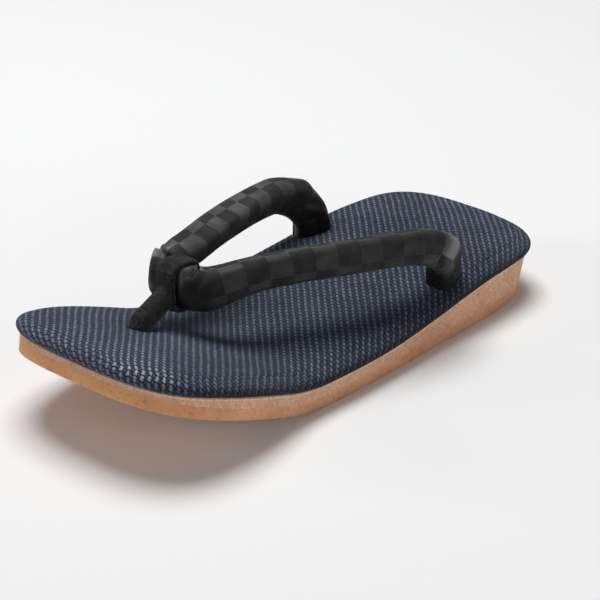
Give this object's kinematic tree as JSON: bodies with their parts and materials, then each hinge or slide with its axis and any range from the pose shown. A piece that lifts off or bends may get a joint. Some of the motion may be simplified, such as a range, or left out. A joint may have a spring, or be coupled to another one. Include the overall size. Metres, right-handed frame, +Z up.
{
  "type": "zori sandal",
  "caption": "Flat left zori sandal: rounded oblong sole that thickens to the heel and rises at the toe, padded woven top and padded thong strap held by a toe post.",
  "frame": {"origin": "on the floor, under the middle of the sole's length and width, on the outsole's flat underside", "axes": "+Z up, -Y towards the toe, +Y towards the heel, +X towards the wearer's left, the outer side of this left sandal"},
  "size_m": [0.1104, 0.2638, 0.0615],
  "materials": {
    "outsole": "smooth matte tan sponge rubber sheet",
    "cork_wedge": "sanded granulated cork, matte",
    "footbed": "coarse plain weave in blue-grey over navy, slight sheen",
    "strap": "matte black cloth with a tone-on-tone checker weave",
    "toe_post": "plain matte black ribbed cloth"
  },
  "bodies": {
    "root": {"outsole": "outsole", "cork_wedge": "cork_wedge", "footbed": "footbed", "strap": "strap", "toe_post": "toe_post"}
  },
  "joints": []
}
